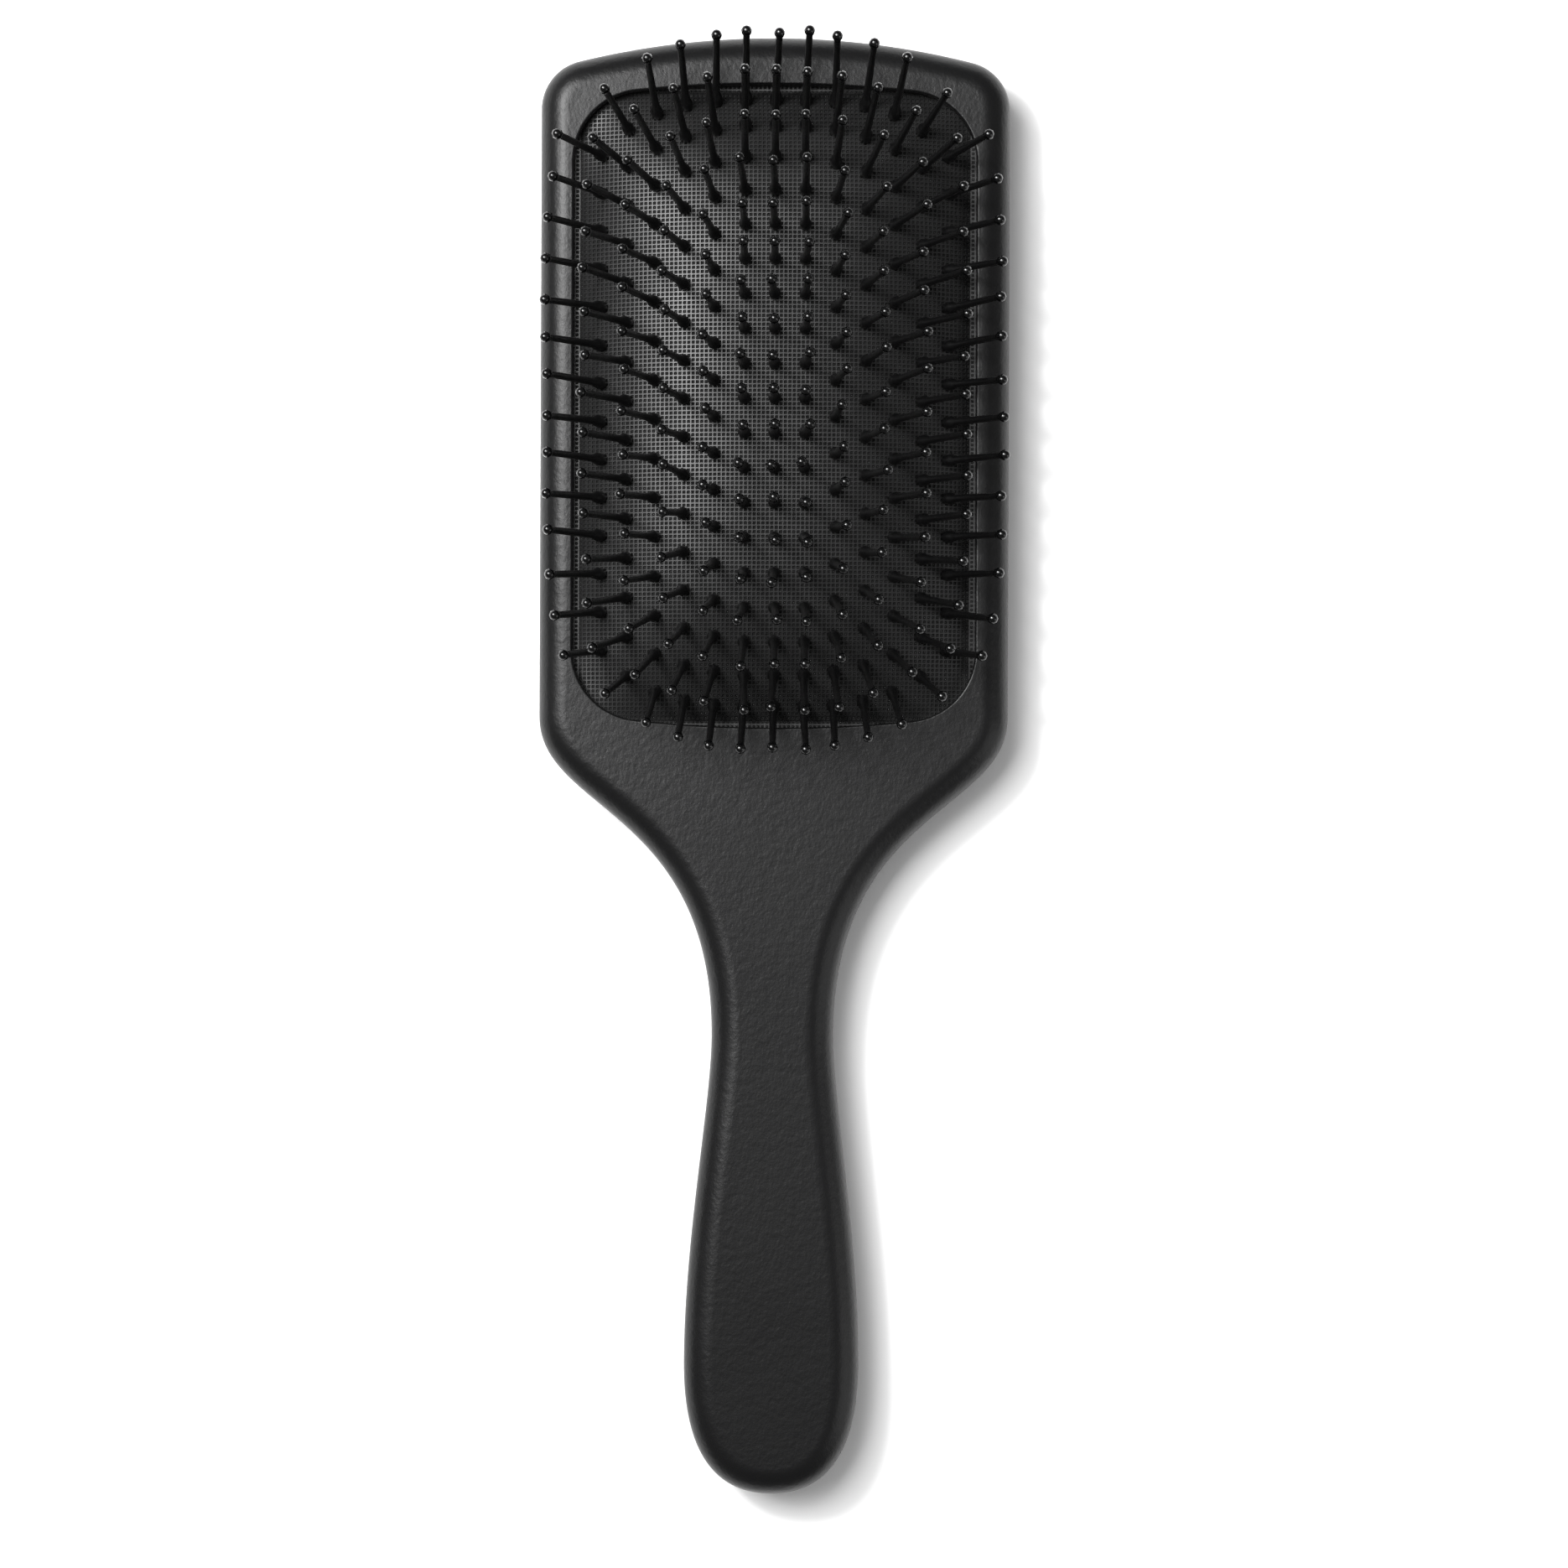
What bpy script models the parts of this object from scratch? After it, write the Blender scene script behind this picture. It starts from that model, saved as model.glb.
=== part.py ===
"""A paddle brush lying on its back: a flat wooden paddle, a domed rubber air cushion and thirteen rows of pins.

Metres. The origin is on the flat back, under the middle of the outline. +Y runs from the handle to the head,
+X to the right and +Z out of the pins. The cushion is pressed in along -Z, and each row of pins leans about a
line along Y that lies in the cushion's sheet.
"""

import math

import bmesh
import bpy
import numpy as np
from mathutils import Matrix, Vector
from mathutils.geometry import interpolate_bezier

# Paddle: overall outline
BODY_LENGTH = 0.250
HEAD_WIDTH = 0.0805
BODY_THICKNESS = 0.014
HEAD_CROWN_RADIUS = 0.140  # of the arched top edge
HEAD_CORNER_RADIUS = 0.0085
SHOULDER_RISE = 0.00185  # from the pocket's lower end up to where the head's sides start to curve in
NECK_LENGTH = 0.05465  # from there down to the waist
WAIST_WIDTH = 0.0209
GRIP_WIDTH = 0.0300
GRIP_FROM_END = 0.0224  # from the handle's end up to its widest place

# How full the outline's curves are: each handle's length as a share of its own stretch
SHOULDER_FULLNESS = 0.300
WAIST_FULLNESS_ABOVE = 0.718
WAIST_FULLNESS_BELOW = 0.204
GRIP_FULLNESS_ABOVE = 0.385
GRIP_FULLNESS_BELOW = 0.786
END_FULLNESS = 0.525

EDGE_ROUNDING = 0.0048  # radius of the paddle's rounded edges, front and back

# Pocket for the cushion, and the groove that holds its flange
POCKET_LENGTH = 0.1098
POCKET_SIDE_MARGIN = 0.00585  # wood between the pocket and the head's sides
POCKET_TOP_MARGIN = 0.0087  # wood between the pocket and the top edge
POCKET_END_RADIUS = 0.230
POCKET_CORNER_RADIUS = 0.012
POCKET_DEPTH = 0.0092
GROOVE_DEPTH = 0.0015
CUSHION_SEAT_DEPTH = 0.0025  # from the paddle's face down to the flange's upper face
FIT_GAP = 0.0003

# Cushion
SHEET_THICKNESS = 0.0015
DOME_HEIGHT = 0.0098  # crown above the flange
DOME_EDGE_GAP = 0.0010  # from the pocket's wall to the foot of the dome
DOME_POWER_ACROSS = 2.8
DOME_POWER_TOWARDS_TOP = 4.9  # the head's top edge; the sheet falls off later and more steeply there
DOME_POWER_TOWARDS_HANDLE = 3.5

# Pins
PIN_LENGTH = 0.0169  # above the sheet
PIN_ROOT_RADIUS = 0.00095
PIN_NECK_RADIUS = 0.00055
PIN_BALL_RADIUS = 0.00098
PIN_HOLE_CLEARANCE = 0.0004
PIN_SIDES = 4

# Rows of pins
ROWS_EACH_SIDE = 6
PINS_IN_LONGEST_ROW = 19
FULL_ROWS_EACH_SIDE = 1  # rows beside the middle one that are as full as it
FIELD_SHIFT = 0.0004  # the pin field's middle lies this far above the pocket's
FIELD_SIDE_MARGIN = 0.0051  # from the pocket's edge to the outermost rows
FIELD_END_MARGIN = 0.0035  # from the pocket's edge to the last pin of the middle row
FIELD_CORNER_DROP = 0.0093  # how much sooner the outermost rows end
FIELD_CORNER_POWER = 3.3
CARRIER_WIDTH = 0.0020
CARRIER_THICKNESS = 0.0009
CARRIER_GAP = 0.0008  # between the sheet's underside and the carrier
ROOT_SINK = 0.75  # how far a pin's root goes into its carrier, as a share of the carrier's thickness
PIVOT_HEIGHT_SHARE = 0.75  # a row's lean axis, as a share of the sheet's height in the middle of that row

# How finely the curved surfaces are divided
ARC_STEPS = 4
CURVE_STEPS = 11
ROUNDING_STEPS = 3
DOME_RINGS = (0.92, 0.80, 0.64, 0.44, 0.22)
CARRIER_STATIONS = 6

BODY_TOP = BODY_LENGTH / 2
POCKET_WIDTH = HEAD_WIDTH - 2 * POCKET_SIDE_MARGIN
POCKET_CENTRE = BODY_TOP - POCKET_TOP_MARGIN - POCKET_LENGTH / 2
SHOULDER = POCKET_CENTRE - POCKET_LENGTH / 2 + SHOULDER_RISE
WAIST = SHOULDER - NECK_LENGTH
GRIP = BODY_TOP - BODY_LENGTH + GRIP_FROM_END
POCKET_FLOOR = BODY_THICKNESS - POCKET_DEPTH
SEAT_LEVEL = BODY_THICKNESS - CUSHION_SEAT_DEPTH
DOME_HALF_WIDTH = POCKET_WIDTH / 2 - DOME_EDGE_GAP
DOME_HALF_LENGTH = POCKET_LENGTH / 2 - DOME_EDGE_GAP
FIELD_CENTRE = POCKET_CENTRE + FIELD_SHIFT


def clear_scene():
    for obj in list(bpy.data.objects):
        bpy.data.objects.remove(obj, do_unlink=True)


def collection(name):
    group = bpy.data.collections.new(name)
    bpy.context.scene.collection.children.link(group)
    return group


def material(name, colour, roughness, metallic=0.0):
    made = bpy.data.materials.new(name)
    made.use_nodes = True
    shader = made.node_tree.nodes["Principled BSDF"]
    shader.inputs["Base Color"].default_value = (*colour, 1.0)
    shader.inputs["Roughness"].default_value = roughness
    shader.inputs["Metallic"].default_value = metallic
    made.diffuse_color = (*colour, 1.0)
    return made


def mesh_object(name, bm, group, finish=None):
    mesh = bpy.data.meshes.new(name)
    bm.to_mesh(mesh)
    bm.free()
    obj = bpy.data.objects.new(name, mesh)
    group.objects.link(obj)
    if finish:
        mesh.materials.append(finish)
    return obj


def as_cutter(obj):
    obj.hide_render = True
    obj.display_type = "WIRE"
    return obj


def add_boolean(obj, other, operation):
    modifier = obj.modifiers.new(other.name, "BOOLEAN")
    modifier.object = other
    modifier.operation = operation


def shade(obj, sharp_degrees=35):
    obj.data.shade_smooth()
    obj.data.set_sharp_from_angle(angle=math.radians(sharp_degrees))


def arc(centre, radius, start, end, steps):
    """Points on an arc, clockwise between two bearings; a bearing is the angle from +Y towards +X."""
    bearings = np.linspace(start, end, steps + 1)
    return [Vector((centre[0] + radius * math.sin(b), centre[1] + radius * math.cos(b))) for b in bearings]


def arched_corner(half_width, top, end_radius, corner_radius, steps):
    """The right half of an arched end: from the middle of the arch to the start of the straight side."""
    arch_centre = top - end_radius
    corner_x = half_width - corner_radius
    corner_y = arch_centre + math.sqrt((end_radius - corner_radius) ** 2 - corner_x**2)
    meeting = math.asin(corner_x / (end_radius - corner_radius))
    arch = arc((0, arch_centre), end_radius, 0, meeting, steps)
    return arch[:-1] + arc((corner_x, corner_y), corner_radius, meeting, math.pi / 2, steps)


def mirrored_outline(right_half):
    """The whole outline from its right half, whose first and last points lie on the middle line."""
    return right_half + [Vector((-p.x, p.y)) for p in reversed(right_half[1:-1])]


def pocket_outline(grow):
    """The pocket's outline, moved out by grow: a rectangle with round corners and arched ends."""
    half_length = POCKET_LENGTH / 2 + grow
    quarter = arched_corner(
        POCKET_WIDTH / 2 + grow, half_length, POCKET_END_RADIUS + grow, POCKET_CORNER_RADIUS + grow, ARC_STEPS
    )
    side = [Vector((quarter[-1].x, 0))]
    lower = [Vector((p.x, -p.y)) for p in reversed(quarter)]
    return [Vector((p.x, p.y + POCKET_CENTRE)) for p in mirrored_outline(quarter + side + lower)]


def paddle_outline():
    """Arched head, a curve in to the waist, a curve out to the grip, and a round end."""
    shoulder = Vector((HEAD_WIDTH / 2, SHOULDER))
    waist = Vector((WAIST_WIDTH / 2, WAIST))
    grip = Vector((GRIP_WIDTH / 2, GRIP))
    end = Vector((0, BODY_TOP - BODY_LENGTH))
    neck, handle, butt = Vector((0, WAIST - SHOULDER)), Vector((0, GRIP - WAIST)), Vector((0, end.y - GRIP))
    out = Vector((GRIP_WIDTH / 2, 0))
    half = arched_corner(HEAD_WIDTH / 2, BODY_TOP, HEAD_CROWN_RADIUS, HEAD_CORNER_RADIUS, ARC_STEPS + 1)
    curves = (
        (shoulder, shoulder + neck * SHOULDER_FULLNESS, waist - neck * WAIST_FULLNESS_ABOVE, waist),
        (waist, waist + handle * WAIST_FULLNESS_BELOW, grip - handle * GRIP_FULLNESS_ABOVE, grip),
        (grip, grip + butt * GRIP_FULLNESS_BELOW, end + out * END_FULLNESS, end),
    )
    half.append(shoulder)
    for knots in curves:
        half += interpolate_bezier(*knots, CURVE_STEPS + 1)[1:]
    return mirrored_outline([Vector(p[:2]) for p in half])


def loft(bm, rings):
    """Walls between rings of equal count, closed by a face at each end."""
    rows = [[bm.verts.new(p) for p in ring] for ring in rings]
    count = len(rows[0])
    for lower, upper in zip(rows, rows[1:]):
        for i in range(count):
            j = (i + 1) % count
            bm.faces.new((lower[i], lower[j], upper[j], upper[i]))
    bm.faces.new(rows[0])
    bm.faces.new(rows[-1])
    bmesh.ops.recalc_face_normals(bm, faces=bm.faces)


def prism(name, outline, low, high, group):
    bm = bmesh.new()
    loft(bm, [[Vector((p.x, p.y, z)) for p in outline] for z in (low, high)])
    return as_cutter(mesh_object(name, bm, group))


def make_paddle(group, cutters, finish):
    """The wooden body: rings of the outline, drawn in near the front and the back by the edge's rounding."""
    outline = paddle_outline()
    count = len(outline)
    inward = []
    for i in range(count):
        along = outline[(i + 1) % count] - outline[i - 1]
        inward.append(Vector((along.y, -along.x)).normalized())
    turns = np.linspace(0, math.pi / 2, ROUNDING_STEPS + 1)
    back = [(EDGE_ROUNDING * (1 - math.sin(a)), EDGE_ROUNDING * (1 - math.cos(a))) for a in turns]
    front = [(shrink, BODY_THICKNESS - z) for shrink, z in reversed(back)]
    rings = []
    for shrink, z in back + front:
        drawn_in = [p + inside * shrink for p, inside in zip(outline, inward)]
        rings.append([Vector((p.x, p.y, z)) for p in drawn_in])
    bm = bmesh.new()
    loft(bm, rings)
    paddle = mesh_object("paddle_body", bm, group, finish)
    pocket = prism("pocket_cutter", pocket_outline(0), POCKET_FLOOR, BODY_THICKNESS * 2, cutters)
    groove_low = SEAT_LEVEL - SHEET_THICKNESS - FIT_GAP
    groove = prism("groove_cutter", pocket_outline(GROOVE_DEPTH), groove_low, SEAT_LEVEL + FIT_GAP, cutters)
    add_boolean(paddle, pocket, "DIFFERENCE")
    add_boolean(paddle, groove, "DIFFERENCE")
    shade(paddle)
    return paddle


def power_along(y):
    return DOME_POWER_TOWARDS_TOP if y > 0 else DOME_POWER_TOWARDS_HANDLE


def dome_height(x, y):
    """Height of the sheet's upper face above the flange; y is counted from the pocket's centre."""
    u = min(abs(x) / DOME_HALF_WIDTH, 1)
    v = min(abs(y) / DOME_HALF_LENGTH, 1)
    return DOME_HEIGHT * (1 - u**DOME_POWER_ACROSS) * (1 - v ** power_along(y))


def dome_normal(x, y):
    """Straight out of the sheet, from the slopes of dome_height."""
    u = min(abs(x) / DOME_HALF_WIDTH, 1)
    v = min(abs(y) / DOME_HALF_LENGTH, 1)
    power = power_along(y)
    fall_x = DOME_POWER_ACROSS * u ** (DOME_POWER_ACROSS - 1) / DOME_HALF_WIDTH * (1 - v**power)
    fall_y = power * v ** (power - 1) / DOME_HALF_LENGTH * (1 - u**DOME_POWER_ACROSS)
    tilt_x, tilt_y = math.copysign(DOME_HEIGHT * fall_x, x), math.copysign(DOME_HEIGHT * fall_y, y)
    return Vector((tilt_x, tilt_y, 1)).normalized()


def on_dome(x, y, below=0):
    """A point of the sheet's upper face, or straight below it; y is counted from the pocket's centre."""
    return Vector((x, POCKET_CENTRE + y, SEAT_LEVEL + dome_height(x, y) - below))


def make_cushion(group, cutters, finish):
    """A rubber sheet: a flat flange in the groove, rising in rings to the crown, with a hole for each pin."""
    centre = Vector((0, POCKET_CENTRE))
    flange = pocket_outline(GROOVE_DEPTH - FIT_GAP)
    foot = pocket_outline(-DOME_EDGE_GAP)
    faces = []
    for below in (0, SHEET_THICKNESS):
        rings = [[Vector((p.x, p.y, SEAT_LEVEL - below)) for p in edge] for edge in (flange, foot)]
        for share in DOME_RINGS:
            spots = [centre.lerp(p, share) for p in foot]
            rings.append([on_dome(p.x, p.y - POCKET_CENTRE, below) for p in spots])
        faces.append(rings)
    bm = bmesh.new()
    loft(bm, list(reversed(faces[1])) + faces[0])
    for end in [f for f in bm.faces if len(f.verts) > 4]:
        bmesh.ops.poke(bm, faces=[end])
    crowns = sorted((v for v in bm.verts if (v.co.xy - centre).length < FIT_GAP), key=lambda v: v.co.z)
    for vert, below in zip(crowns, (SHEET_THICKNESS, 0)):
        vert.co.z = SEAT_LEVEL + DOME_HEIGHT - below
    cushion = mesh_object("cushion_sheet", bm, group, finish)

    bm = bmesh.new()
    hole = bmesh.new()
    radius = PIN_ROOT_RADIUS + PIN_HOLE_CLEARANCE
    bmesh.ops.create_cone(
        hole, cap_ends=True, segments=PIN_SIDES, radius1=radius, radius2=radius, depth=SHEET_THICKNESS * 4
    )
    stamp = bpy.data.meshes.new("pin_hole")
    hole.to_mesh(stamp)
    hole.free()
    for row in rows():
        for y in row["pins"]:
            add_copy(bm, stamp, pin_frame(row["x"], y))
    holes = as_cutter(mesh_object("pin_hole_cutter", bm, cutters))
    add_boolean(cushion, holes, "DIFFERENCE")
    shade(cushion)
    return cushion


def even_along(height_at, start, end, count):
    """Places from start to end, evenly spaced along the sheet, as its holes are before it is domed."""
    fine = np.linspace(start, end, 400)
    heights = np.array([height_at(t) for t in fine])
    run = np.concatenate([[0], np.cumsum(np.hypot(np.diff(fine), np.diff(heights)))])
    return np.interp(np.linspace(0, run[-1], count), run, fine)


def rows():
    """Each row's place across the brush, its pins' places along it, and its lean axis."""
    outermost = POCKET_WIDTH / 2 - FIELD_SIDE_MARGIN
    across = even_along(lambda x: dome_height(x, 0), -outermost, outermost, 2 * ROWS_EACH_SIDE + 1)
    found = []
    for number, x in enumerate(float(x) for x in across):
        from_middle = abs(number - ROWS_EACH_SIDE)
        end = POCKET_LENGTH / 2 - FIELD_END_MARGIN
        end -= FIELD_CORNER_DROP * (from_middle / ROWS_EACH_SIDE) ** FIELD_CORNER_POWER
        count = PINS_IN_LONGEST_ROW - max(from_middle - FULL_ROWS_EACH_SIDE, 0)
        pins = even_along(lambda y: dome_height(x, y), FIELD_SHIFT - end, FIELD_SHIFT + end, count)
        pivot = Vector((x, FIELD_CENTRE, SEAT_LEVEL + dome_height(x, 0) * PIVOT_HEIGHT_SHARE))
        found.append({"x": x, "pins": [float(y) for y in pins], "pivot": pivot})
    return found


def pin_frame(x, y):
    """A pin's own axes: its origin on the sheet's upper face, and +Z straight out of the sheet."""
    turn = Vector((0, 0, 1)).rotation_difference(dome_normal(x, y))
    return Matrix.Translation(on_dome(x, y)) @ turn.to_matrix().to_4x4()


def add_copy(bm, stamp, frame):
    first = len(bm.verts)
    bm.from_mesh(stamp)
    bm.verts.ensure_lookup_table()
    bmesh.ops.transform(bm, matrix=frame, verts=bm.verts[first:])


def pin_stamp():
    """One pin, turned about Z: a root under the sheet, a tapering shank and a ball on its tip."""
    ball_centre = PIN_LENGTH - PIN_BALL_RADIUS
    neck = ball_centre - math.sqrt(PIN_BALL_RADIUS**2 - PIN_NECK_RADIUS**2)
    root = -SHEET_THICKNESS - CARRIER_GAP - CARRIER_THICKNESS * ROOT_SINK
    shank = ((0, root), (PIN_ROOT_RADIUS, root), (PIN_NECK_RADIUS, neck))
    profile = (*shank, (PIN_BALL_RADIUS, ball_centre), (0, PIN_LENGTH))
    bm = bmesh.new()
    verts = [bm.verts.new((r, 0, z)) for r, z in profile]
    edges = [bm.edges.new(pair) for pair in zip(verts, verts[1:])]
    bmesh.ops.spin(bm, geom=verts + edges, cent=(0, 0, 0), axis=(0, 0, 1), angle=math.tau, steps=PIN_SIDES)
    bmesh.ops.remove_doubles(bm, verts=bm.verts, dist=0.00001)
    bmesh.ops.recalc_face_normals(bm, faces=bm.faces)
    stamp = bpy.data.meshes.new("pin")
    bm.to_mesh(stamp)
    bm.free()
    return stamp


def make_half_row(name, row, pins, stamp, group, cutters, finish):
    """Half a row of pins on a thin carrier, which follows the sheet's underside and stands for their heads."""
    place = Matrix.Translation(-row["pivot"])
    outwards = math.copysign(1, pins[-1] - pins[0])
    inner, outer = pins[0] - outwards * CARRIER_WIDTH / 2, pins[-1] + outwards * CARRIER_WIDTH / 2
    rings = []
    for turn in np.linspace(0, math.pi / 2, CARRIER_STATIONS):  # closer together where the sheet bends most
        y = inner + (outer - inner) * math.sin(turn)
        up = dome_normal(row["x"], y)
        side = Vector((up.z, 0, -up.x)).normalized() * CARRIER_WIDTH / 2
        top = on_dome(row["x"], y, SHEET_THICKNESS) - up * CARRIER_GAP
        low = top - up * CARRIER_THICKNESS
        rings.append([place @ p for p in (top - side, top + side, low + side, low - side)])
    bm = bmesh.new()
    loft(bm, rings)
    carrier = mesh_object(name, bm, group, finish)
    carrier.location = row["pivot"]

    bm = bmesh.new()
    for y in pins:
        add_copy(bm, stamp, place @ pin_frame(row["x"], y))
    shanks = as_cutter(mesh_object("shanks_of_" + name, bm, cutters))
    shanks.location = row["pivot"]
    add_boolean(carrier, shanks, "UNION")
    shade(carrier)
    return carrier


def build():
    clear_scene()
    parts = collection("paddle_brush")
    cutters = collection("cutters")
    lacquered_wood = material("lacquered_wood", (0.022, 0.022, 0.023), 0.46)
    cushion_rubber = material("cushion_rubber", (0.030, 0.030, 0.031), 0.72)
    pin_nylon = material("pin_nylon", (0.012, 0.012, 0.012), 0.34)

    holder = bpy.data.objects.new("brush", None)
    parts.objects.link(holder)
    made = [make_paddle(parts, cutters, lacquered_wood), make_cushion(parts, cutters, cushion_rubber)]
    stamp = pin_stamp()
    for number, row in enumerate(rows(), start=1):
        half = len(row["pins"]) // 2
        halves = {"lower": row["pins"][:half][::-1], "upper": row["pins"][half:]}
        for side, pins in halves.items():
            name = f"pin_row_{number:02d}_{side}"
            made.append(make_half_row(name, row, pins, stamp, parts, cutters, pin_nylon))
    for obj in made:
        obj.parent = holder


build()
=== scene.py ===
import math

import bmesh
import bpy
import numpy as np
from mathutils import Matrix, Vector


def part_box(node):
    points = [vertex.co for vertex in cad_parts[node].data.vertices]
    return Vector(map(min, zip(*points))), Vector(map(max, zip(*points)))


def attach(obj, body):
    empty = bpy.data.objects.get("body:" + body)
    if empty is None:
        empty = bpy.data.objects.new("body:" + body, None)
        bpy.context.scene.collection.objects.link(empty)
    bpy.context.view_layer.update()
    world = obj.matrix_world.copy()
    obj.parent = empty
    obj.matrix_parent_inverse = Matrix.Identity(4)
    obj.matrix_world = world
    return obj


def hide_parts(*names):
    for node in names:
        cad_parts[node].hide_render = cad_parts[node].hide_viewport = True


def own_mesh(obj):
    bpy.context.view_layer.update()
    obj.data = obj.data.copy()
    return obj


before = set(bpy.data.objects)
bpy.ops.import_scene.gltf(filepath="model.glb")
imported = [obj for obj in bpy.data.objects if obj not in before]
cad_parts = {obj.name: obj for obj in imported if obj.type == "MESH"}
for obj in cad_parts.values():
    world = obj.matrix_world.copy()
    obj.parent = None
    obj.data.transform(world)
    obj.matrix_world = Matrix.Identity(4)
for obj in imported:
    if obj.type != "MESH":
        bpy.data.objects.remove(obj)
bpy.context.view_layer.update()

mm = 0.001

paddleLow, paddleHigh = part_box("paddle_body")


def addPiece(name, points, faces, material):
    mesh = bpy.data.meshes.new(name)
    mesh.from_pydata(points.tolist(), [], faces)
    mesh.validate()
    piece = bpy.data.objects.new(name, mesh)
    bpy.context.scene.collection.objects.link(piece)
    mesh.materials.append(material)
    mesh.shade_smooth()
    return piece


def setSockets(node, **values):
    for name, value in values.items():
        node.inputs[name.replace("_", " ")].default_value = value


def startMaterial(name, colour, roughness):
    material = bpy.data.materials.new(name)
    material.use_nodes = True
    tree = material.node_tree
    shader = tree.nodes["Principled BSDF"]
    setSockets(shader, Base_Color=(*colour, 1), Roughness=roughness)
    return material, tree, shader


def addNode(tree, kind, inputs=(), **settings):
    node = tree.nodes.new("ShaderNode" + kind)
    for key, value in settings.items():
        setattr(node, key, value)
    for key, value in dict(inputs).items():
        if isinstance(value, bpy.types.NodeSocket):
            tree.links.new(value, node.inputs[key])
        else:
            node.inputs[key].default_value = value
    return node


def doMath(tree, operation, a, b=0.0):
    return addNode(tree, "Math", {0: a, 1: b}, operation=operation).outputs[0]


def ease(tree, value, start, end, low=0.0, high=1.0):
    inputs = {"Value": value, "From Min": start, "From Max": end, "To Min": low, "To Max": high}
    return addNode(tree, "MapRange", inputs, interpolation_type="SMOOTHSTEP").outputs[0]


def objectPlace(tree, scale=(1, 1, 1), turn=0.0, shift=(0, 0, 0)):
    place = addNode(tree, "TexCoord").outputs["Object"]
    inputs = {"Vector": place, "Scale": scale, "Rotation": (0, 0, turn), "Location": shift}
    return addNode(tree, "Mapping", inputs).outputs[0]


def noise(tree, place, scale, detail, roughness):
    inputs = {"Vector": place, "Scale": scale, "Detail": detail, "Roughness": roughness}
    return addNode(tree, "TexNoise", inputs).outputs["Fac"]


def mixColours(tree, share, first, second):
    return addNode(tree, "MixRGB", {"Fac": share, "Color1": first, "Color2": second}).outputs[0]


def bump(tree, height, amount, below=None):
    inputs = {"Height": height, "Strength": amount[0], "Distance": amount[1]}
    if below:
        inputs["Normal"] = below
    return addNode(tree, "Bump", inputs).outputs[0]


print("paddle")

pocket = {
    "sideMargin": 5.85 * mm,  # wood left beside it
    "topMargin": 8.7 * mm,
    "length": 109.8 * mm,
    "endRadius": 230 * mm,
    "cornerRadius": 12 * mm,
    "depth": 9.2 * mm,
    "seatDepth": 2.5 * mm,
    "grooveDepth": 1.5 * mm,
    "sheet": 1.5 * mm,
    "gap": 0.3 * mm,
    "edgeRounding": 0.35 * mm,
    "edgeSteps": 4,
    "floorRounding": 1.0 * mm,
    "floorSteps": 3,
    "spacing": 0.6 * mm,  # between points along the outline
}

paddle = {
    "crownRadius": 140 * mm,  # arched top edge of the head
    "cornerRadius": 8.5 * mm,
    "shoulderRise": 1.85 * mm,  # from the pocket's lower end up to where the sides start to curve in
    "neckLength": 54.65 * mm,
    "waistWidth": 20.9 * mm,
    "gripWidth": 30.0 * mm,
    "gripFromEnd": 22.4 * mm,
    "fullness": {  # length of the outline's handles, as shares of the stretch between two of its knots
        "shoulder": 0.3,
        "aboveWaist": 0.718,
        "belowWaist": 0.204,
        "aboveGrip": 0.385,
        "belowGrip": 0.786,
        "end": 0.525,
    },
    "rounding": 4.9 * mm,
    "spacing": 0.7 * mm,
    "roundSteps": 14,
    "flatMargin": 0.07 * mm,  # the flat faces start this far inside the rounding
    "sharpDegrees": 40,  # edges that turn more than this are drawn sharp
    "colour": (0.0042, 0.0042, 0.0044),
    "roughness": 0.35,
    "specular": 0.26,
    "patches": (45.0, 3.0, 0.5),  # each noise is its scale, detail and roughness
    "patchChange": 0.02,
    "peel": (620.0, 3.0, 0.55),
    "peelBump": (0.6, 0.1 * mm),  # each bump is its strength and distance
    "wrinkleScale": (1700, 1100, 1700),
    "wrinkleTurn": 0.6,
    "wrinkles": (1.0, 3.0, 0.6),
    "wrinkleBump": (0.7, 0.06 * mm),
}

pocketHalfWidth = paddleHigh[0] - pocket["sideMargin"]
pocketHalfLength = pocket["length"] / 2
pocketCentre = paddleHigh[1] - pocket["topMargin"] - pocketHalfLength
seatLevel = paddleHigh[2] - pocket["seatDepth"]


# A point on an arc is its centre plus the radius times (sine, cosine) of the bearing from +Y.
def arc(centre, radius, start, end, count=60):
    bearing = np.linspace(start, end, count)
    return np.stack([centre[0] + radius * np.sin(bearing), centre[1] + radius * np.cos(bearing)], axis=1)


# Cubic curve: the four knots weighted by the Bernstein polynomials of t.
def curve(knots, count=80):
    t = np.linspace(0, 1, count)[:, None]
    a, b, c, d = (np.array(k, float) for k in knots)
    return (1 - t) ** 3 * a + 3 * (1 - t) ** 2 * t * b + 3 * (1 - t) * t * t * c + t**3 * d


# Arched end with round corners: the arch up to where the corner's circle touches it, then the corner.
def archedCorner(halfWidth, top, endRadius, cornerRadius):
    cornerX = halfWidth - cornerRadius
    cornerY = top - endRadius + math.sqrt((endRadius - cornerRadius) ** 2 - cornerX**2)
    meeting = math.asin(cornerX / (endRadius - cornerRadius))
    arch = arc((0, top - endRadius), endRadius, 0, meeting)
    return np.concatenate([arch, arc((cornerX, cornerY), cornerRadius, meeting, math.pi / 2)])


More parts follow.
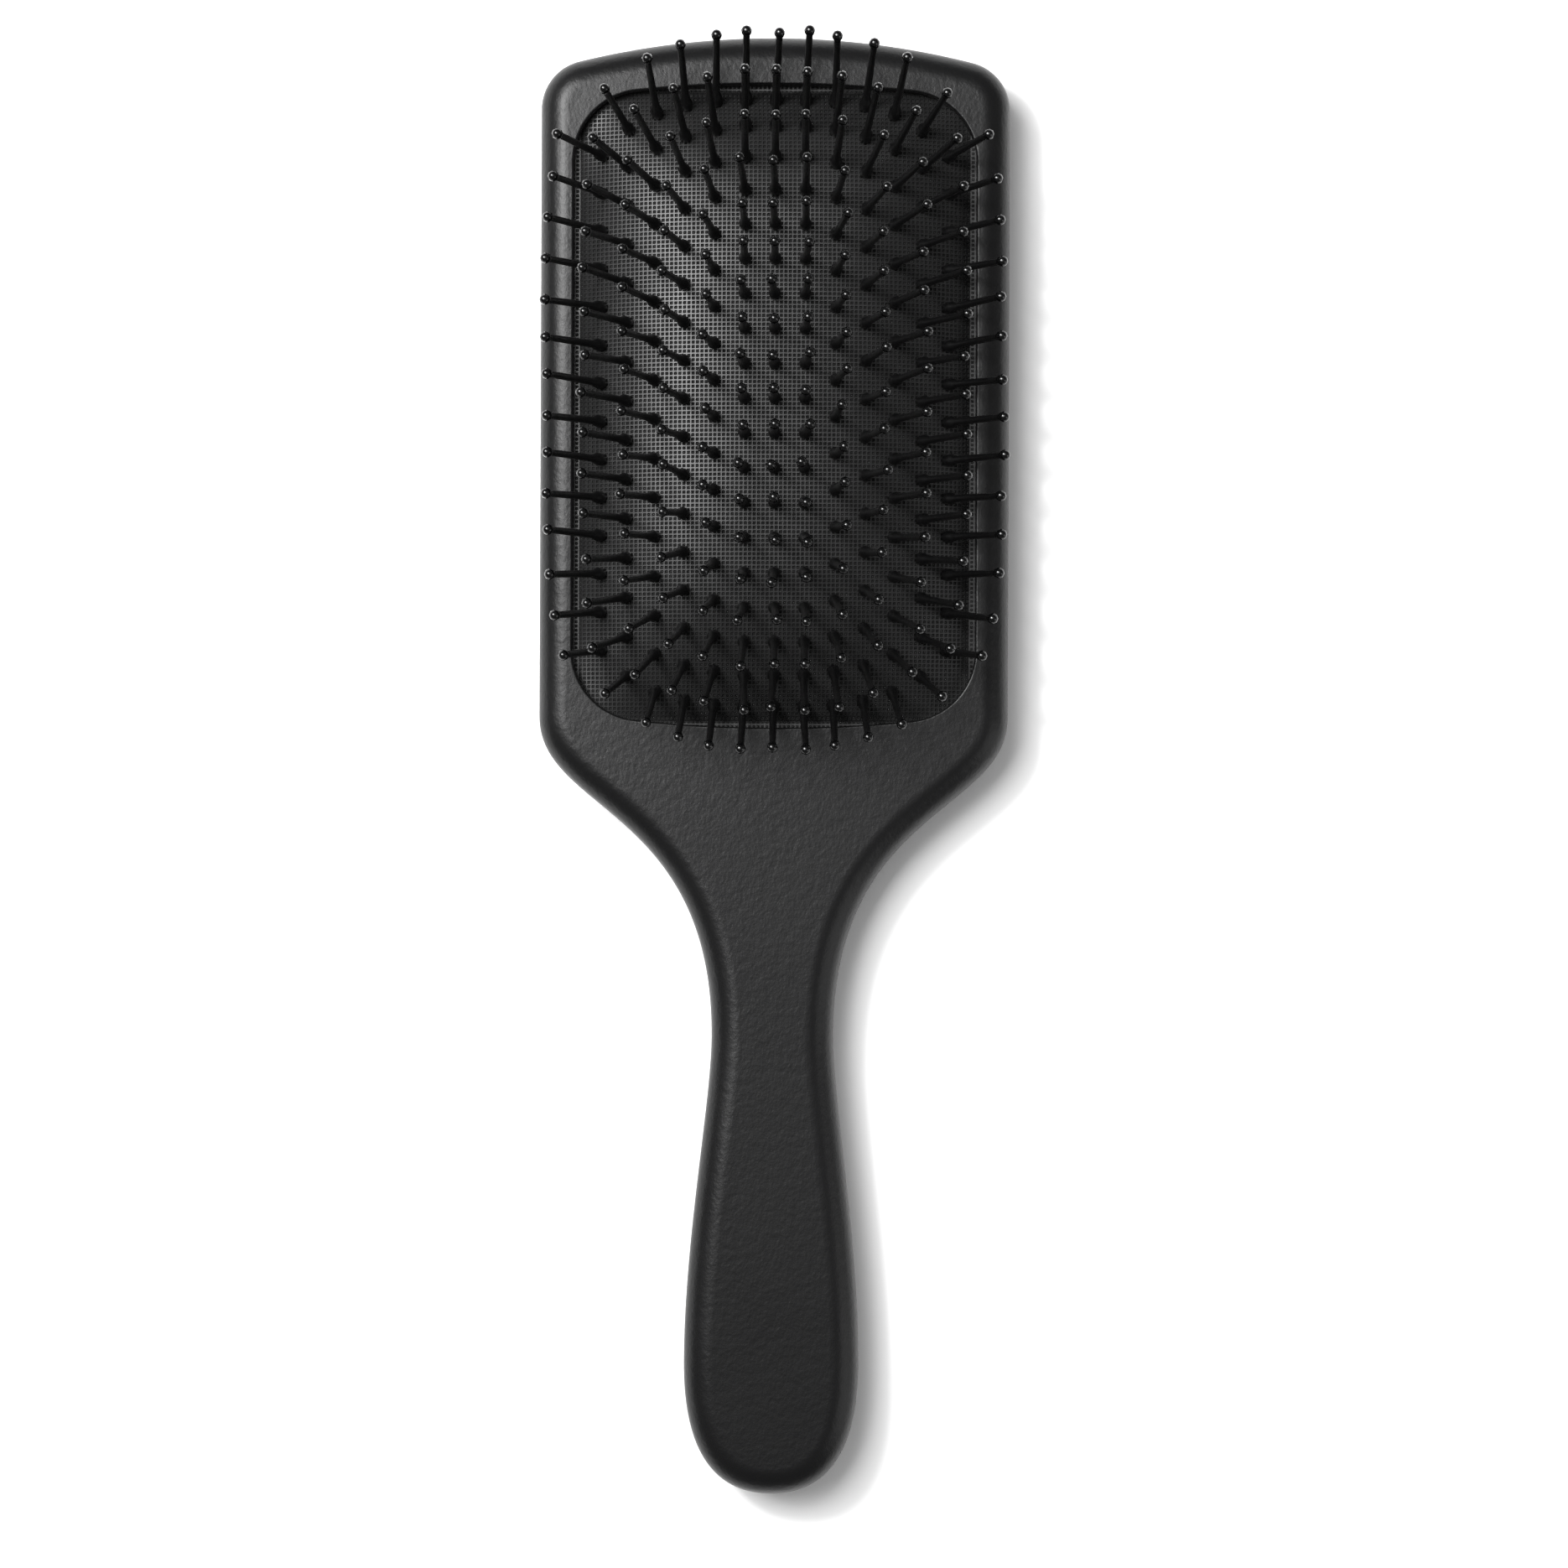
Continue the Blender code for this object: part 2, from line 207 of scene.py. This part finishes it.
# Mirrors the right half and spaces the points of the closed line evenly along it.
def closeOutline(rightHalf, spacing):
    line = np.concatenate([rightHalf, rightHalf[::-1] * (-1, 1)])
    steps = np.hypot(*np.diff(line, axis=0).T)
    line = line[np.concatenate([[True], steps > 1e-9])]
    run = np.concatenate([[0], np.cumsum(np.hypot(*np.diff(line, axis=0).T))])
    count = 2 * round(run[-1] / spacing / 2)
    even = np.linspace(0, run[-1], count, endpoint=False)
    return np.stack([np.interp(even, run, line[:, 0]), np.interp(even, run, line[:, 1])], axis=1)


def paddleOutline():
    top, halfWidth, full = paddleHigh[1], paddleHigh[0], paddle["fullness"]
    shoulder = np.array([halfWidth, pocketCentre - pocketHalfLength + paddle["shoulderRise"]])
    waist = np.array([paddle["waistWidth"] / 2, shoulder[1] - paddle["neckLength"]])
    grip = np.array([paddle["gripWidth"] / 2, paddleLow[1] + paddle["gripFromEnd"]])
    end = np.array([0, paddleLow[1]])
    joins = ((shoulder, waist), (waist, grip), (grip, end))
    neck, handle, butt = ((low - high) * (0, 1) for high, low in joins)
    out = grip * (1, 0)
    stretches = [
        archedCorner(halfWidth, top, paddle["crownRadius"], paddle["cornerRadius"]),
        curve((shoulder, shoulder + neck * full["shoulder"], waist - neck * full["aboveWaist"], waist)),
        curve((waist, waist + handle * full["belowWaist"], grip - handle * full["aboveGrip"], grip)),
        curve((grip, grip + butt * full["belowGrip"], end + out * full["end"], end)),
    ]
    return closeOutline(np.concatenate(stretches), paddle["spacing"])


def pocketOutline(grow, spacing=pocket["spacing"]):
    sizes = (pocketHalfWidth, pocketHalfLength, pocket["endRadius"], pocket["cornerRadius"])
    quarter = archedCorner(*(size + grow for size in sizes))
    return closeOutline(np.concatenate([quarter, quarter[::-1] * (1, -1)]), spacing) + (0, pocketCentre)


# Unit vectors that point into the closed clockwise line, square to it.
def inwards(line):
    along = np.roll(line, -1, axis=0) - np.roll(line, 1, axis=0)
    along /= np.hypot(*along.T)[:, None]
    return np.stack([along[:, 1], -along[:, 0]], axis=1)


# Quads between neighbouring rings of the same count; ring r holds the points r*count to (r+1)*count-1.
def ringQuads(rings, count, first=0):
    r, i = np.meshgrid(np.arange(rings - 1), np.arange(count), indexing="ij")
    a, b = r * count + i, r * count + (i + 1) % count
    return np.stack([a, a + count, b + count, b], axis=-1).reshape(-1, 4) + first


# Lays the line once for each (grow, height) pair: moved out by grow and lifted to height.
def stackRings(line, levels):
    inside = inwards(line)
    rings = [np.column_stack([line - inside * grow, np.full(len(line), z)]) for grow, z in levels]
    return np.concatenate(rings)


def quarterTurn(steps):
    return np.linspace(0, math.pi / 2, steps + 1)


# The outer skin and the pocket's wall are rings of points, and the flat faces between them are filled.
def makePaddle(material):
    r, top = paddle["rounding"], paddleHigh[2]
    turn = quarterTurn(paddle["roundSteps"])
    back = [(-r * (1 - math.sin(a)), r * (1 - math.cos(a))) for a in turn]
    front = [(grow, top - z) for grow, z in reversed(back)]
    margin = -r - paddle["flatMargin"]
    outline = paddleOutline()
    shell = stackRings(outline, [(margin, 0), *back, *front, (margin, top)])
    shellRings = len(back) + len(front) + 2

    e = pocket["edgeRounding"]
    turn = quarterTurn(pocket["edgeSteps"])
    edge = [(e * (1 - math.sin(a)), top - e * (1 - math.cos(a))) for a in turn]
    grooveTop = seatLevel + pocket["gap"]
    grooveLow = seatLevel - pocket["sheet"] - pocket["gap"]
    deep = pocket["grooveDepth"]
    wall = [(0, grooveTop), (deep, grooveTop), (deep, grooveLow), (0, grooveLow)]
    floor, fillet = top - pocket["depth"], pocket["floorRounding"]
    turn = quarterTurn(pocket["floorSteps"])
    foot = [(-fillet * (1 - math.cos(a)), floor + fillet * (1 - math.sin(a))) for a in turn]
    pocketLine = pocketOutline(0)
    levels = [(e + paddle["flatMargin"], top), *edge, *wall, *foot]
    well = stackRings(pocketLine, levels)

    n, m = len(outline), len(pocketLine)
    points = np.concatenate([shell, well])
    faces = ringQuads(shellRings, n).tolist() + ringQuads(len(levels), m, len(shell)).tolist()
    piece = addPiece("paddle", points, faces, material)

    bm = bmesh.new()
    bm.from_mesh(piece.data)
    for height in (top, 0, floor):
        flatEdges = [x for x in bm.edges if x.is_boundary and abs(x.verts[0].co.z - height) < 1e-6]
        bmesh.ops.triangle_fill(bm, edges=flatEdges, use_beauty=True)
    bmesh.ops.recalc_face_normals(bm, faces=bm.faces)
    bm.to_mesh(piece.data)
    bm.free()
    piece.data.shade_smooth()
    piece.data.set_sharp_from_angle(angle=math.radians(paddle["sharpDegrees"]))
    return piece


# Satin black lacquer over wood: a soft uneven skin with fine leathery wrinkles.
def lacquer():
    material, tree, shader = startMaterial("lacquered wood", paddle["colour"], paddle["roughness"])
    patches = noise(tree, objectPlace(tree), *paddle["patches"])
    peel = noise(tree, objectPlace(tree), *paddle["peel"])
    stretched = objectPlace(tree, paddle["wrinkleScale"], turn=paddle["wrinkleTurn"])
    wrinkles = noise(tree, stretched, *paddle["wrinkles"])
    rough, change = paddle["roughness"], paddle["patchChange"]
    rough = ease(tree, patches, 0.3, 0.7, rough - change, rough + change)
    tree.links.new(rough, shader.inputs["Roughness"])
    setSockets(shader, Specular_IOR_Level=paddle["specular"])
    normal = bump(tree, peel, paddle["peelBump"])
    normal = bump(tree, wrinkles, paddle["wrinkleBump"], normal)
    tree.links.new(normal, shader.inputs["Normal"])
    return material


paddlePiece = makePaddle(lacquer())
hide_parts("paddle_body")
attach(paddlePiece, "paddle")


print("cushion")

cushion = {
    "height": 9.8 * mm,  # crown above the flange
    "edgeGap": 1.0 * mm,  # from the pocket's wall to the foot of the dome
    "powerAcross": 2.8,
    "powerTowardsTop": 4.9,
    "powerTowardsHandle": 3.5,
    "weave": 0.744 * mm,  # pitch of the embossed grid
    "stations": (-0.12, 0.12, 0.28, 0.72),  # grid points, as shares of the pitch
    "pitFrom": 0.25,  # the stations past this share lie in the pit, the others on a raised line
    "pitDepth": 0.24 * mm,
    "plainHeight": 0.6 * mm,  # the pits fade out below this height of the dome
    "edgeSpacing": 0.3 * mm,
    "undersideRings": (1.0, 0.93, 0.84, 0.72, 0.57, 0.4, 0.2),  # shares of the rim's reach
    "travel": 2.2 * mm,
    "colour": (0.0075, 0.0075, 0.0077),
    # painted shade: the pits are coloured darker than the raised lines
    "pitShadeColour": (0.0012, 0.0012, 0.0012),
    "wornColour": (0.01, 0.01, 0.01, 1),
    "wornShare": 0.3,
    "roughness": 0.4,
    "pitRougher": 0.5,
    "beadSmoother": 0.1,
    "patchChange": 0.04,
    "specular": 0.5,
    "lineFade": (0.1, 0.2),  # from the middle of a raised line, as shares of the pitch
    "beadFade": (0.02, 0.2),  # from the middle of a bead
    "patches": (90.0, 3.0, 0.55),
    "grit": (6000.0, 2.0, 0.6),
    "beadBump": (1.0, 0.1 * mm),
    "gritBump": (0.25, 0.01 * mm),
}
footHalfWidth = pocketHalfWidth - cushion["edgeGap"]
footHalfLength = pocketHalfLength - cushion["edgeGap"]


# Height of the dome over the flange: H (1 - |x/a|^p) (1 - |y/b|^q), with a q for each end.
# Outside the foot it is zero.
def domeHeight(x, y):
    u = np.minimum(np.abs(x) / footHalfWidth, 1)
    v = np.minimum(np.abs(y) / footHalfLength, 1)
    power = np.where(np.asarray(y) > 0, cushion["powerTowardsTop"], cushion["powerTowardsHandle"])
    return cushion["height"] * (1 - u ** cushion["powerAcross"]) * (1 - v**power)


# The dome's upward normal, from the slopes of that formula.
def domeNormal(x, y, reach=1e-5):
    slopeX = (domeHeight(x + reach, y) - domeHeight(x - reach, y)) / (2 * reach)
    slopeY = (domeHeight(x, y + reach) - domeHeight(x, y - reach)) / (2 * reach)
    normal = np.stack([-slopeX, -slopeY, np.ones_like(slopeX)], axis=-1)
    return normal / np.linalg.norm(normal, axis=-1, keepdims=True)


# The sheet's upper face is a grid with four points a weave: flat raised lines, sloping walls and a
# flat pit in each cell. Points beyond the flange's edge are drawn back to it, towards the centre.
# Under the grid lie a rim and a plain underside.
def makeCushion(material):
    flange = pocket["grooveDepth"] - pocket["gap"]
    edge = pocketOutline(flange, cushion["edgeSpacing"]) - (0, pocketCentre)
    bearing, reach = np.arctan2(edge[:, 1], edge[:, 0]), np.hypot(*edge.T)
    order = np.argsort(bearing)
    bearing, reach = bearing[order], reach[order]
    stations = np.array(cushion["stations"])
    weaves = np.ceil(edge.max(axis=0) / cushion["weave"]).astype(int) + 1
    shares = ((np.arange(-n, n + 1)[:, None] + stations).ravel() for n in weaves)
    across, along = (share * cushion["weave"] for share in shares)
    x, y = np.meshgrid(across, along, indexing="ij")
    inPit = stations > cushion["pitFrom"]
    inPit = np.tile(inPit, 2 * weaves[0] + 1)[:, None] & np.tile(inPit, 2 * weaves[1] + 1)
    limit = np.interp(np.arctan2(y, x), bearing, reach, period=2 * math.pi)
    distance = np.hypot(x, y)
    outside = distance > limit
    shrink = np.where(outside, limit / np.maximum(distance, 1e-9), 1)
    x, y = x * shrink, y * shrink
    height = domeHeight(x, y)
    fade = np.clip(height / cushion["plainHeight"], 0, 1)
    z = seatLevel + height - cushion["pitDepth"] * (inPit & ~outside) * fade
    index = np.arange(x.size).reshape(x.shape)
    cells = np.stack([index[:-1, :-1], index[1:, :-1], index[1:, 1:], index[:-1, 1:]], axis=-1)
    cells = cells.reshape(-1, 4)
    cells = cells[~outside.ravel()[cells].all(axis=1)]
    used, flat = np.unique(cells, return_inverse=True)
    cells = flat.reshape(-1, 4)
    top = np.stack([x.ravel(), y.ravel(), z.ravel()], axis=1)[used]

    sides = np.concatenate([cells[:, [k, (k + 1) % 4]] for k in range(4)])
    _, first, count = np.unique(np.sort(sides, axis=1), axis=0, return_index=True, return_counts=True)
    rim = np.unique(sides[first[count == 1]])
    rim = rim[np.argsort(np.arctan2(top[rim, 1], top[rim, 0]))]
    under, lowLevel = [], seatLevel - pocket["sheet"]
    for share in cushion["undersideRings"]:
        ring = top[rim, :2] * share
        under.append(np.column_stack([ring, lowLevel + domeHeight(*ring.T) * (share < 1)]))
    centre = np.array([[0, 0, lowLevel + cushion["height"]]])
    n = len(rim)
    points = np.concatenate([top, *under, centre])
    ringIndex = np.concatenate([rim, len(top) + np.arange(n * len(under))]).reshape(-1, n)
    a, b = ringIndex[:-1], ringIndex[1:]
    quads = np.stack([a, b, np.roll(b, -1, axis=1), np.roll(a, -1, axis=1)], axis=-1).reshape(-1, 4)
    last = ringIndex[-1]
    fan = np.stack([last, np.full(n, len(points) - 1), np.roll(last, -1)], axis=1)
    points[:, 1] += pocketCentre
    faces = cells.tolist() + quads[:, ::-1].tolist() + fan[:, ::-1].tolist()
    piece = addPiece("cushion", points, faces, material)
    bm = bmesh.new()
    bm.from_mesh(piece.data)
    bmesh.ops.remove_doubles(bm, verts=bm.verts, dist=1e-6)
    bmesh.ops.recalc_face_normals(bm, faces=bm.faces)
    bm.to_mesh(piece.data)
    bm.free()
    piece.data.shade_flat()
    return piece


# Embossed rubber: rougher in the pits than on the raised lines and coloured darker there as painted
# shade, with a bead in each pit.
def rubber():
    material, tree, shader = startMaterial("embossed rubber", cushion["colour"], cushion["roughness"])
    pitch = 1 / cushion["weave"]
    place = objectPlace(tree, (pitch, pitch, pitch), shift=(0, -pocketCentre * pitch, 0))
    split = addNode(tree, "SeparateXYZ", {0: place})
    across = doMath(tree, "PINGPONG", split.outputs[0], 0.5)
    along = doMath(tree, "PINGPONG", split.outputs[1], 0.5)
    line = ease(tree, doMath(tree, "MINIMUM", across, along), *cushion["lineFade"], 1.0, 0.0)
    offAcross = doMath(tree, "SUBTRACT", 0.5, across)
    offAlong = doMath(tree, "SUBTRACT", 0.5, along)
    fromMiddle = addNode(tree, "CombineXYZ", {0: offAcross, 1: offAlong}).outputs[0]
    distance = addNode(tree, "VectorMath", {0: fromMiddle}, operation="LENGTH").outputs["Value"]
    bead = ease(tree, distance, *cushion["beadFade"], 1.0, 0.0)
    raised = doMath(tree, "MAXIMUM", line, bead)
    patches = noise(tree, objectPlace(tree), *cushion["patches"])
    grit = noise(tree, objectPlace(tree), *cushion["grit"])
    # painted shade: the pits take a darker colour than the raised lines
    colour = mixColours(tree, raised, (*cushion["pitShadeColour"], 1), (*cushion["colour"], 1))
    wear = ease(tree, patches, 0.4, 0.75, 0.0, cushion["wornShare"])
    colour = mixColours(tree, wear, colour, cushion["wornColour"])
    tree.links.new(colour, shader.inputs["Base Color"])
    setSockets(shader, Specular_IOR_Level=cushion["specular"])
    change = cushion["patchChange"]
    rough = ease(tree, raised, 0.2, 0.8, cushion["pitRougher"], 0.0)
    rough = doMath(tree, "ADD", rough, ease(tree, patches, 0.3, 0.7, -change, change))
    rough = doMath(tree, "SUBTRACT", rough, ease(tree, bead, 0.1, 0.7, 0.0, cushion["beadSmoother"]))
    rough = doMath(tree, "ADD", rough, cushion["roughness"])
    tree.links.new(rough, shader.inputs["Roughness"])
    normal = bump(tree, bead, cushion["beadBump"])
    normal = bump(tree, grit, cushion["gritBump"], normal)
    tree.links.new(normal, shader.inputs["Normal"])
    return material


cushionPiece = makeCushion(rubber())
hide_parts("cushion_sheet")
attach(cushionPiece, "paddle")
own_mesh(cushionPiece)


print("pins")

pin = {
    "length": 16.9 * mm,
    "ballRadius": 0.96 * mm,
    "neckRadius": 0.57 * mm,
    "shankRadius": 0.64 * mm,
    "collarRadius": 1.08 * mm,
    "collarHeight": 1.9 * mm,
    "collarTaper": 1.0 * mm,
    "collarShape": (0.9, 0.75, 0.93),  # radius at the root, height at the widest, radius at the top
    "root": -1.9 * mm,
    "ballAngles": (-28, 8, 40, 68),  # degrees above the ball's middle
    "sides": 8,
    "wander": 1.1,  # degrees by which single pins stand out of line
    "seed": 7,
    "rowsEachSide": 6,
    "longestRow": 19,
    "fullRows": 1,  # rows on each side of the middle that are as long as it
    "fieldShift": 0.4 * mm,
    "sideMargin": 5.1 * mm,
    "endMargin": 3.5 * mm,
    "cornerDrop": 9.3 * mm,
    "cornerPower": 3.3,
    "colour": (0.0012, 0.0012, 0.0013),
    "roughness": 0.42,
    "ballRoughness": 0.03,
    "ballFade": 0.02,  # as a share of the pin's length
    "specular": 0.42,
    "marks": (2600.0, 3.0, 0.6),
    "markChange": 0.06,
    "marksBump": (0.15, 0.02 * mm),
    "dust": (700.0, 2.0, 0.5),
    "dustColour": (0.01, 0.01, 0.01, 1),
    "dustShare": 0.2,
}


# Places that are evenly spaced along a height curve: its running length, read back at even steps.
def spreadEvenly(heightAt, start, end, count, steps=600):
    places = np.linspace(start, end, steps)
    run = np.concatenate([[0], np.cumsum(np.hypot(np.diff(places), np.diff(heightAt(places))))])
    return np.interp(np.linspace(0, run[-1], count), run, places)


# Rows are even along the sheet; the pins of a row are even between two arcs that fall off to the sides.
def pinRows():
    outermost = pocketHalfWidth - pin["sideMargin"]
    count = 2 * pin["rowsEachSide"] + 1
    rows = []
    for number, x in enumerate(spreadEvenly(lambda x: domeHeight(x, 0), -outermost, outermost, count)):
        fromMiddle = abs(number - pin["rowsEachSide"])
        end = pocketHalfLength - pin["endMargin"]
        end -= pin["cornerDrop"] * (fromMiddle / pin["rowsEachSide"]) ** pin["cornerPower"]
        pins = pin["longestRow"] - max(fromMiddle - pin["fullRows"], 0)
        shift = pin["fieldShift"]
        rows.append((x, spreadEvenly(lambda y, x=x: domeHeight(x, y), shift - end, shift + end, pins)))
    return rows


# Radius and height of a pin's turned outline, from its root under the sheet to the top of its ball.
def pinProfile():
    ball, radius = pin["length"] - pin["ballRadius"], pin["ballRadius"]
    neck = ball - math.sqrt(radius**2 - pin["neckRadius"] ** 2)
    cap = [(radius * math.cos(a), ball + radius * math.sin(a)) for a in np.radians(pin["ballAngles"])]
    collar, taper, wide = pin["collarHeight"], pin["collarTaper"], pin["collarRadius"]
    low, middle, high = pin["collarShape"]
    foot = [(wide * low, pin["root"]), (wide, collar * middle), (wide * high, collar)]
    return np.array([*foot, (pin["shankRadius"], collar + taper), (pin["neckRadius"], neck), *cap])


# Each pin is its outline turned about the sheet's normal n: the point at height z and radius r, at the
# bearing a, is base + n z + r (s cos a + t sin a), where s and t are square to n.
def makeRow(name, x, along, material, rng):
    profile, length = pinProfile(), pin["length"]
    height = seatLevel + domeHeight(x, along)
    base = np.stack([np.full(len(along), x), along + pocketCentre, height], axis=1)
    normal = domeNormal(np.full(len(along), x), along)
    normal[:, :2] += rng.normal(0, math.radians(pin["wander"]), (len(along), 2))
    normal /= np.linalg.norm(normal, axis=1, keepdims=True)
    side = np.cross(normal, (0, 1, 0))
    side /= np.linalg.norm(side, axis=1, keepdims=True)
    other = np.cross(normal, side)
    turn = np.arange(pin["sides"]) * 2 * math.pi / pin["sides"]
    spoke = side[:, None] * np.cos(turn)[:, None] + other[:, None] * np.sin(turn)[:, None]
    radius, height = profile[:, 0][:, None, None], profile[:, 1][:, None, None]
    rings = base[:, None, None] + normal[:, None, None] * height + spoke[:, None] * radius
    lowest = base + normal * pin["root"]
    highest = base + normal * length
    count = len(profile) * pin["sides"]
    rings = rings.reshape(len(along), count, 3)
    points = np.concatenate([rings, lowest[:, None], highest[:, None]], axis=1)
    quads = ringQuads(len(profile), pin["sides"])[:, ::-1]
    i = np.arange(pin["sides"])
    j = np.roll(i, -1)
    last = count - pin["sides"]
    lowFan = np.stack([j, i, np.full_like(i, count)], axis=1)
    highFan = np.stack([last + i, last + j, np.full_like(i, count + 1)], axis=1)
    start = (np.arange(len(along)) * (count + 2))[:, None, None]
    faces = (quads + start).reshape(-1, 4).tolist()
    faces += (np.concatenate([lowFan, highFan]) + start).reshape(-1, 3).tolist()
    piece = addPiece(name, points.reshape(-1, 3), faces, material)
    heights = np.concatenate([np.repeat(profile[:, 1], pin["sides"]), [pin["root"], length]])
    attribute = piece.data.attributes.new("alongPin", "FLOAT", "POINT")
    attribute.data.foreach_set("value", np.tile(heights / length, len(along)).astype(np.float32))
    return piece


# Black nylon: the shank is satin with moulding marks, the ball is glossy.
def nylon():
    material, tree, shader = startMaterial("black nylon", pin["colour"], pin["roughness"])
    along = addNode(tree, "Attribute", attribute_name="alongPin").outputs["Fac"]
    neck = (pin["length"] - 2 * pin["ballRadius"]) / pin["length"]
    onBall = ease(tree, along, neck - pin["ballFade"], neck + pin["ballFade"])
    marks = noise(tree, objectPlace(tree), *pin["marks"])
    rough, change = pin["roughness"], pin["markChange"]
    satin = ease(tree, marks, 0.3, 0.7, rough - change, rough + change)
    rough = mixColours(tree, onBall, satin, (pin["ballRoughness"],) * 3 + (1,))
    tree.links.new(rough, shader.inputs["Roughness"])
    dust = noise(tree, objectPlace(tree), *pin["dust"])
    dust = ease(tree, dust, 0.62, 0.8, 0.0, pin["dustShare"])
    colour = mixColours(tree, dust, (*pin["colour"], 1), pin["dustColour"])
    tree.links.new(colour, shader.inputs["Base Color"])
    setSockets(shader, Specular_IOR_Level=pin["specular"])
    tree.links.new(bump(tree, marks, pin["marksBump"]), shader.inputs["Normal"])
    return material


pinMaterial = nylon()
rng = np.random.default_rng(pin["seed"])
for number, (x, along) in enumerate(pinRows(), start=1):
    row = makeRow(f"pinRow{number:02d}", x, along, pinMaterial, rng)
    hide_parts(f"pin_row_{number:02d}_lower", f"pin_row_{number:02d}_upper")
    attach(row, f"row_{number:02d}")


print("floor, light and camera")

studio = {
    "floorSize": 8.0,
    "floorColour": (0.9, 0.9, 0.9),
    "floorRoughness": 0.9,
    "floorSpecular": 0.1,
    "floorGlow": 0.02,
    "floorGap": 0.2 * mm,  # below the brush's back
    "worldColour": (0.2, 0.2, 0.2),
}

# The glint is a small lamp for the points of light on the balls.
lights = {
    "key": {"place": (-0.30, 0.23, 0.60), "aim": (0.0, 0.03, 0.0), "size": (0.42, 0.5), "power": 7.6},
    "glint": {"place": (-0.33, 0.27, 0.62), "aim": (0.0, 0.03, 0.0), "size": (0.08, 0.08), "power": 2.2},
    "overhead": {"place": (0.0, 0.22, 1.15), "aim": (0.0, 0.0, 0.0), "size": (0.9, 0.9), "power": 1.8},
    "right": {"place": (0.8, -0.3, 0.4), "aim": (0.0, 0.0, 0.0), "size": (0.5, 0.7), "power": 1.6},
}

camera = {
    "distance": 0.640,  # above the paddle's face
    "frameWidth": 0.26745,  # at the paddle's face
    "middle": (0.00185, -0.0031),
    "roll": 0.22,  # degrees
    "sensor": 36.0,
    "clip": (0.01, 10),
}


def makeFloor():
    size = studio["floorSize"] / 2
    mesh = bpy.data.meshes.new("floor")
    corners = [(-size, -size, 0), (size, -size, 0), (size, size, 0), (-size, size, 0)]
    mesh.from_pydata(corners, [], [(0, 1, 2, 3)])
    floor = bpy.data.objects.new("floor", mesh)
    floor.location.z = -studio["floorGap"]
    bpy.context.scene.collection.objects.link(floor)
    material, _, shader = startMaterial("floor", studio["floorColour"], studio["floorRoughness"])
    setSockets(shader, Emission_Color=(1, 1, 1, 1), Emission_Strength=studio["floorGlow"])
    setSockets(shader, Specular_IOR_Level=studio["floorSpecular"])
    mesh.materials.append(material)


def makeLight(name, place, aim, size, power):
    data = bpy.data.lights.new(name, "AREA")
    data.shape, data.size, data.size_y, data.energy = "RECTANGLE", *size, power
    light = bpy.data.objects.new(name, data)
    bpy.context.scene.collection.objects.link(light)
    light.location = place
    way = np.array(aim) - np.array(place)
    light.rotation_euler = Vector(way).to_track_quat("-Z", "Y").to_euler()


def makeCamera():
    data = bpy.data.cameras.new("camera")
    data.sensor_width = camera["sensor"]
    data.lens = camera["sensor"] * camera["distance"] / camera["frameWidth"]
    data.clip_start, data.clip_end = camera["clip"]
    view = bpy.data.objects.new("camera", data)
    bpy.context.scene.collection.objects.link(view)
    view.location = (*camera["middle"], paddleHigh[2] + camera["distance"])
    view.rotation_euler = (0, 0, math.radians(camera["roll"]))
    bpy.context.scene.camera = view


makeFloor()
for name, settings in lights.items():
    makeLight(name, **settings)
makeCamera()
world = bpy.data.worlds.new("studio")
world.use_nodes = True
world.node_tree.nodes["Background"].inputs["Color"].default_value = (*studio["worldColour"], 1)
bpy.context.scene.world = world
bpy.context.scene.view_settings.view_transform = "Standard"
